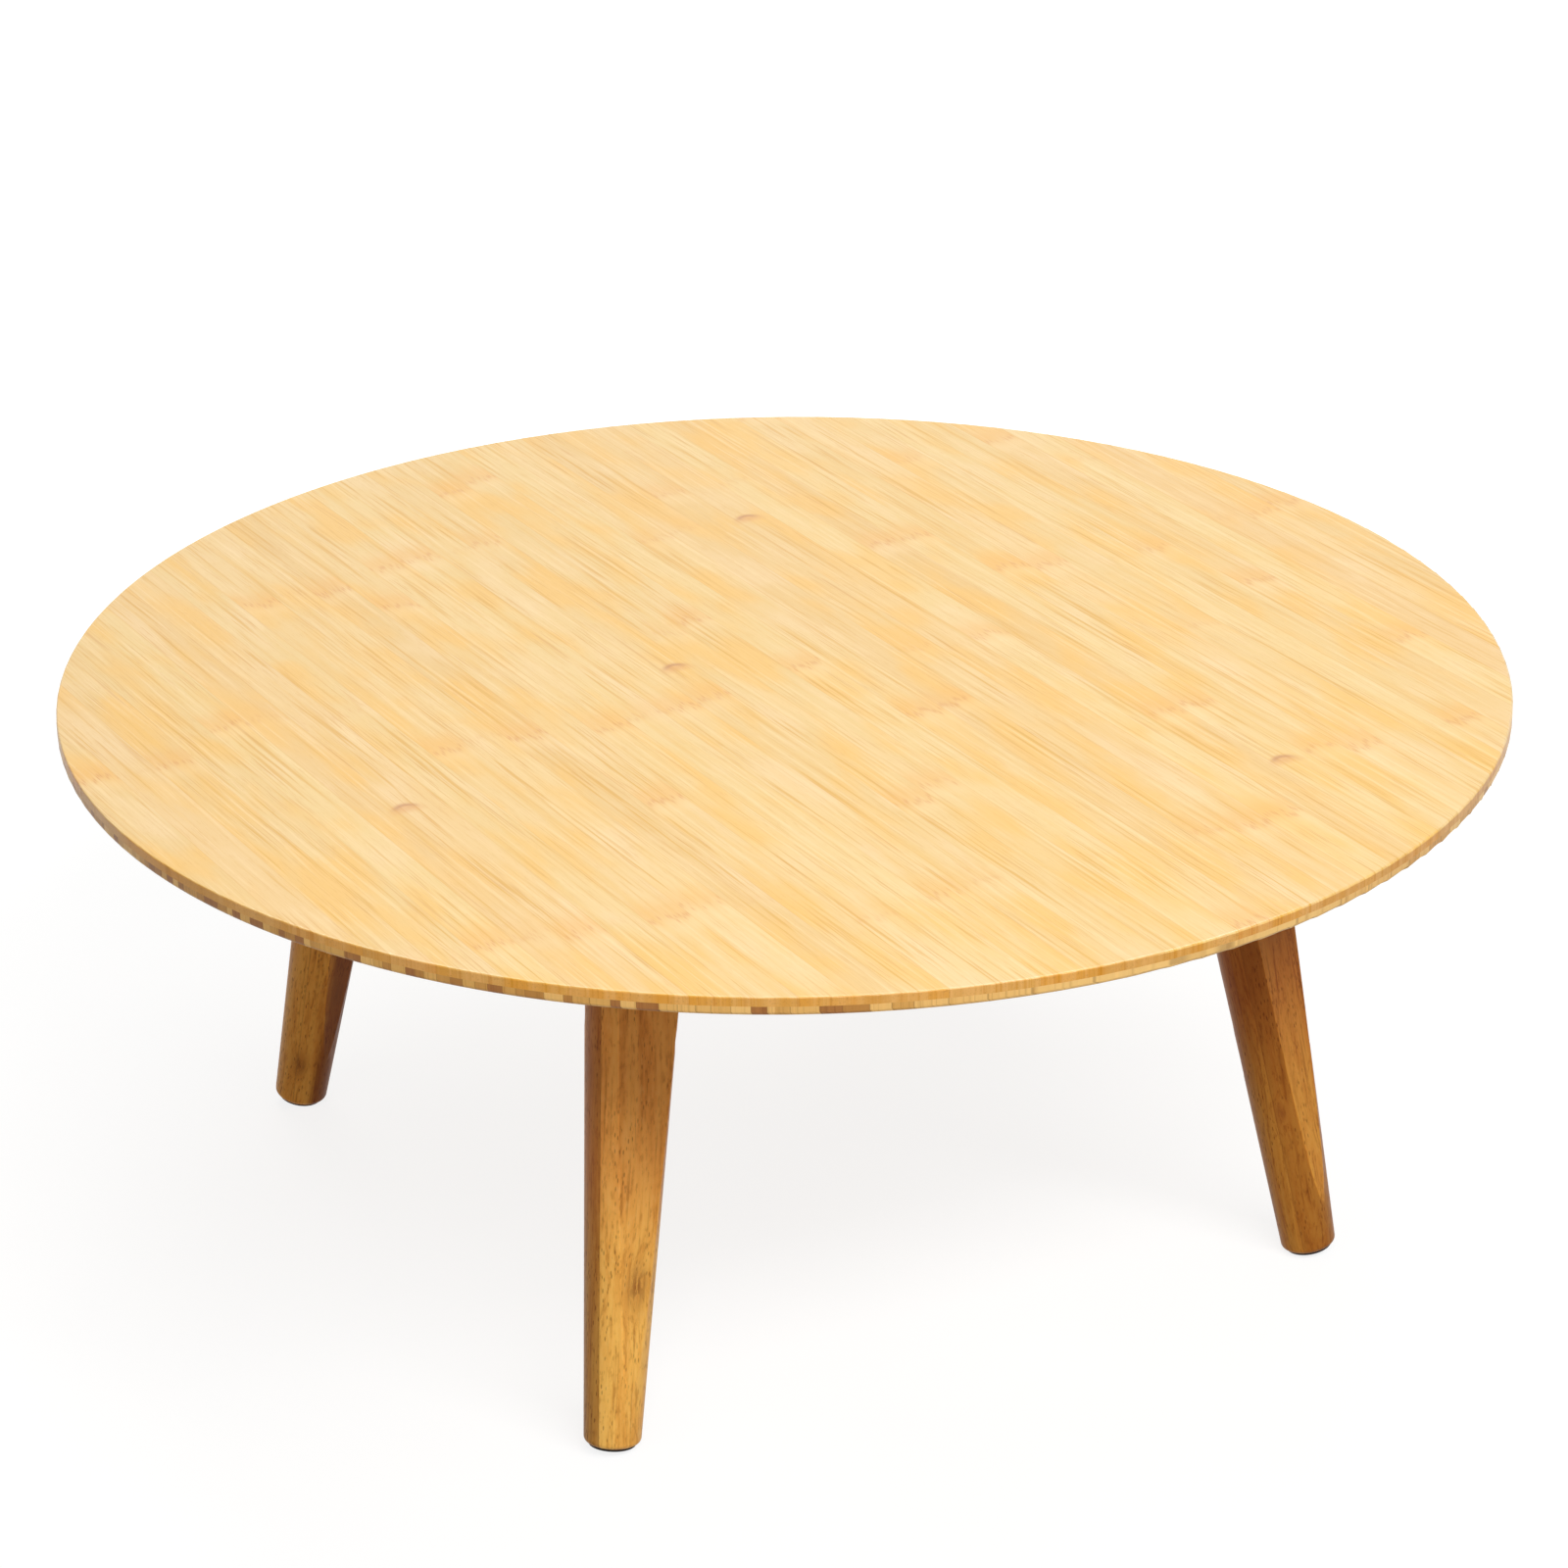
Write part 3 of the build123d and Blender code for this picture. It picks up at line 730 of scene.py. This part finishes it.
for number, corner in enumerate(corners):
    leg_tint_and_shade, shades, knots = leg_boards[corner]
    stain_finish, shader, normal, ways, (x, y, z) = local_finish(
        corner, 0.0, f"{corner}_golden_stain", Specular_IOR_Level=0.12
    )
    second_board = y.rise(-glue_plane - 0.1, -glue_plane + 0.1)
    third_board = y.rise(glue_plane - 0.1, glue_plane + 0.1)
    board = second_board + third_board
    glue = (y.math("ABSOLUTE") - glue_plane).hump(0.3)
    knot_pull, knot_core = x * 0, x * 0
    for knot_x, knot_y, knot_z, size in knots:
        off_x, off_y, off_z = (x - knot_x) / size, (y - knot_y) / size, (z - knot_z) / (size * 1.8)
        gap = x.point(off_x, off_y, off_z).length()
        knot_pull = knot_pull + gap.hump(1.6)
        knot_core = knot_core + gap.hump(0.8)

    # the grain bends round the knots and starts afresh in each board
    bend = x.point(x * 0.02, y * 0.02, z * 0.009 + number * 7.7).cloud(1.0) - 0.5
    shift = bend * 12 + knot_pull * 3 + board * 31.3 + number * 61.7
    figure = x.point((x + shift) * 0.14, (y + shift) * 0.14, z * 0.009).cloud(2.0)
    lines = x.point((x + shift) * 0.62, (y + shift) * 0.62, z * 0.014).cloud(3.0, 0.6)
    shimmer = x.point((x + shift) * 0.55, (y + shift) * 0.55, z * 0.13).cloud(3.0, 0.65)
    settings = {"voronoi_dimensions": "3D", "feature": "F1"}
    sockets = {"Vector": x.point((x + shift) * 0.6, (y + shift) * 0.6, z * 0.16), "Scale": 1.0}
    pores = x.node("ShaderNodeTexVoronoi", settings, sockets, "Distance").rise(0.30, 0.13)
    pores = pores * x.point(x * 0.1, y * 0.1, z * 0.02).cloud(1.0).rise(0.35, 0.6)

    stain = figure.ramp(
        (0.28, tint(224, 156, 68)),
        (0.45, tint(242, 176, 84)),
        (0.6, tint(252, 194, 98)),
        (0.78, tint(232, 166, 76)),
    )
    stain = stain.toward(tint(168, 100, 36), lines.rise(0.52, 0.72) * 0.6)
    stain = stain.toward(tint(252, 196, 106), lines.rise(0.47, 0.30) * 0.45)
    stain = stain.toward(tint(254, 202, 114), shimmer.rise(0.52, 0.70) * 0.45)
    stain = stain.toward(tint(180, 112, 44), shimmer.rise(0.48, 0.32) * 0.45)
    stain = stain.toward(tint(118, 64, 22), pores * 0.6)

    # the boards and the flats took the stain differently; the front-right leg's darker rounds
    # beside its lighter flats, the rear-left leg's dark inner side and the redder upper half are
    # painted shade
    first, second, third, planed, inner_shade = shades
    shade = first + board.rise(0.45, 0.55) * (second - first)
    shade = shade + board.rise(1.45, 1.55) * (third - second)
    on_flat = y.math("ABSOLUTE").rise(flat_plane - 0.3, flat_plane - 0.12)
    # painted shade: the inner side of the leg, under the top, is darkened
    inner_painted_shade = x.rise(-9, -2)
    # painted shade: the upper half of the leg, shaded by the top, is made redder
    upper_painted_shade = z.rise(-175, -95)
    shade = shade + on_flat * (planed - shade)
    shade = shade.math("MAXIMUM", inner_painted_shade * inner_shade)
    stain = stain.toward(stain * tint(150, 110, 70), shade) * leg_tint_and_shade
    stain = stain.toward(stain * tint(247, 226, 226), upper_painted_shade)
    knot_core = knot_core.math("MINIMUM", 1.0) * shimmer.rise(0.35, 0.55)
    stain = stain.toward(tint(120, 66, 24), knot_core * 0.85)
    stain = stain.toward(tint(186, 112, 44), knot_pull.math("MINIMUM", 1.0) * 0.3)
    stain = stain.toward(tint(96, 52, 20), glue * 0.25)

    # the lacquer is worn pale along the edges of the flats, with a painted highlight where the
    # crease catches light, and the sawn end drinks stain
    off_flat = normal.dot(ways[1]).math("ABSOLUTE").rise(0.985, 0.93)
    # painted highlight and wear: paler along the crease at the flat's edge
    crease_wear_and_highlight = (y.math("ABSOLUTE") - (flat_plane - 0.3)).hump(0.25) * off_flat
    stain = stain.toward(stain * 1.3, crease_wear_and_highlight * 0.5)
    cut_end = normal.dot(ways[2]).math("ABSOLUTE").rise(0.55, 0.95)
    stain = stain.toward(tint(126, 74, 30), cut_end * 0.65)
    gloss = 0.33 + pores * 0.15 + lines * 0.10 + cut_end * 0.2
    waves = x.point(x * 0.03, y * 0.03, z * 0.03).cloud(1.0)
    relief = waves * 0.05 - pores * 0.025 - lines * 0.012 - glue * 0.01
    spread(shader, stain, gloss, relief)
    dress(f"{corner}_leg", stain_finish)

# --- Bushes, washers and foot pads ---
# A drawn brass bush is pressed through each leg, a turned nylon washer runs on either
# side of it, and a disc of black rubber is glued under the foot and scuffed by the floor.

for corner in corners:
    brass, shader, normal, ways, (x, y, z) = local_finish(
        corner, 0.0, f"{corner}_drawn_brass", Metallic=1.0
    )
    drawn = x.point(x * 2.0, y * 0.1, z * 2.0).cloud(2.0, 0.6)
    tarnish = x.point(x * 0.3, y * 0.2, z * 0.3).cloud(2.0).rise(0.5, 0.8)
    metal = drawn.ramp((0.3, tint(198, 158, 84)), (0.7, tint(226, 190, 116)))
    metal = metal.toward(tint(138, 100, 50), tarnish * 0.5)
    spread(shader, metal, 0.26 + drawn * 0.16 + tarnish * 0.15, drawn * 0.01)
    dress(f"{corner}_pivot_bush", brass)

    nylon, shader, normal, ways, (x, y, z) = local_finish(
        corner, 0.0, f"{corner}_turned_nylon", Specular_IOR_Level=0.4
    )
    grooves = (x.point(x, 0, z).length() * 2.4).math("SINE") * 0.5 + 0.5
    grime = x.point(x * 0.25, y * 0.4, z * 0.25).cloud(3.0, 0.6)
    milky = grime.ramp(
        (0.3, tint(232, 230, 218)),
        (0.6, tint(222, 219, 204)),
        (0.85, tint(188, 182, 164)),
    )
    spread(shader, milky, 0.38 + grime * 0.2, grooves * 0.02)
    dress(f"{corner}_thrust_washers", nylon)

    rubber, shader, normal, ways, (x, y, z) = local_finish(
        corner, 0.0, f"{corner}_foot_rubber", Specular_IOR_Level=0.35
    )
    crumbs = x.point(x * 1.7, y * 1.7, z * 1.7).cloud(3.0, 0.65)
    scuffs = x.point(x * 0.9, y * 0.22, z).cloud(2.0, 0.6).rise(0.52, 0.72)
    touching = normal.dot((0, 0, -1)).rise(0.9, 0.995)
    black = crumbs.ramp((0.3, tint(30, 28, 26)), (0.7, tint(46, 43, 40)))
    black = black.toward(tint(112, 106, 98), scuffs * touching * 0.5)
    spread(shader, black, 0.68 + crumbs * 0.2, crumbs * 0.06)
    dress(f"{corner}_foot_pad", rubber)

# --- Floor, light and camera ---
# A pale matt floor that turns white away from the table, in a white room, with soft lamps
# in front, on the left and behind, and one for the light that the floor throws back up.

# the floor's own glow, as the eye sees it, rises from 600 to 1300 mm from the middle
floor_width = 24
glow_near = 0.84
glow_far = 1.14
near_edge = 600
far_edge = 1300
room_light = 0.12
lamp_aim = 0.2


def seen_rays(tree):
    """1 where the eye, a gloss or glass meets the surface, 0 where it only lights others."""
    path = tree.nodes.new("ShaderNodeLightPath")
    seen = Wire(path.outputs["Is Camera Ray"]) + Wire(path.outputs["Is Glossy Ray"])
    return (seen + Wire(path.outputs["Is Transmission Ray"])).math("MINIMUM", 1.0)


bpy.ops.mesh.primitive_plane_add(size=floor_width)
floor = bpy.context.object
floor.name = "floor"
floor_paint, shader, place, normal = new_finish(
    "floor_paint", Specular_IOR_Level=0.0, Emission_Strength=1.0
)
tree = floor_paint.node_tree
speckle = (place * 0.004).cloud(3.0)
paint = speckle.ramp((0.3, tint(121, 121, 120)), (0.7, tint(127, 127, 126)))
spread(shader, paint, 0.8 + speckle * 0.1, speckle * 0.2)
far = place.length().rise(near_edge, far_edge)
white = seen_rays(tree) * (glow_near + far * (glow_far - glow_near))
tree.links.new(white.point(white, white, white).socket, shader.inputs["Emission Color"])
geometry = tree.nodes.new("ShaderNodeNewGeometry")
see_through = tree.nodes.new("ShaderNodeBsdfTransparent")
either = tree.nodes.new("ShaderNodeMixShader")
tree.links.new(geometry.outputs["Backfacing"], either.inputs["Fac"])
tree.links.new(shader.outputs["BSDF"], either.inputs[1])
tree.links.new(see_through.outputs["BSDF"], either.inputs[2])
tree.links.new(either.outputs["Shader"], tree.nodes["Material Output"].inputs["Surface"])
floor.data.materials.append(floor_paint)

world = bpy.data.worlds.new("studio")
bpy.context.scene.world = world
world.use_nodes = True
tree = world.node_tree
background = tree.nodes["Background"]
background.inputs["Color"].default_value = (1, 1, 1, 1)
strength = room_light + seen_rays(tree) * (1 - room_light)
tree.links.new(strength.socket, background.inputs["Strength"])


def soft_lamp(name, compass, height, away, width, tall, watts, mirrored=True, spread=180):
    """A soft panel that faces the table: its compass angle from the front, its height in
    degrees over the table, its distance and size in metres, whether it shows in gloss, and
    the width in degrees of its light."""
    lamp = bpy.data.lights.new(name, "AREA")
    lamp.shape = "RECTANGLE"
    lamp.size, lamp.size_y = width, tall
    lamp.energy = watts
    lamp.spread = radians(spread)
    turn, rise = radians(compass), radians(height)
    offset = Vector((sin(turn) * cos(rise), -cos(turn) * cos(rise), sin(rise))) * away
    holder = bpy.data.objects.new(name, lamp)
    holder.location = offset + Vector((0, 0, lamp_aim))
    holder.rotation_euler = (-offset).to_track_quat("-Z", "Y").to_euler()
    holder.visible_glossy = mirrored
    bpy.context.scene.collection.objects.link(holder)


soft_lamp("front_lamp", -2, 45, 3.2, 3.0, 0.6, 84)
soft_lamp("low_front_lamp", 5, 22, 3.2, 2.4, 0.8, 9, mirrored=False)
soft_lamp("low_left_lamp", -65, 22, 3.6, 3.0, 1.0, 18, mirrored=False)
soft_lamp("back_lamp", 150, 58, 2.4, 2.0, 1.6, 40)
soft_lamp("floor_bounce", 0, -90, 0.198, 1.0, 1.0, 0.8, mirrored=False, spread=80)

lens = bpy.data.cameras.new("camera")
lens.lens = 107.83
lens.sensor_width = 36.0
lens.clip_start = 0.05
camera = bpy.data.objects.new("camera", lens)
camera.location = (-1.0928, -2.1286, 1.3482)
camera.rotation_euler = (radians(65.310), radians(0.495), radians(-27.386))
bpy.context.scene.collection.objects.link(camera)
bpy.context.scene.camera = camera
bpy.context.scene.view_settings.view_transform = "Standard"
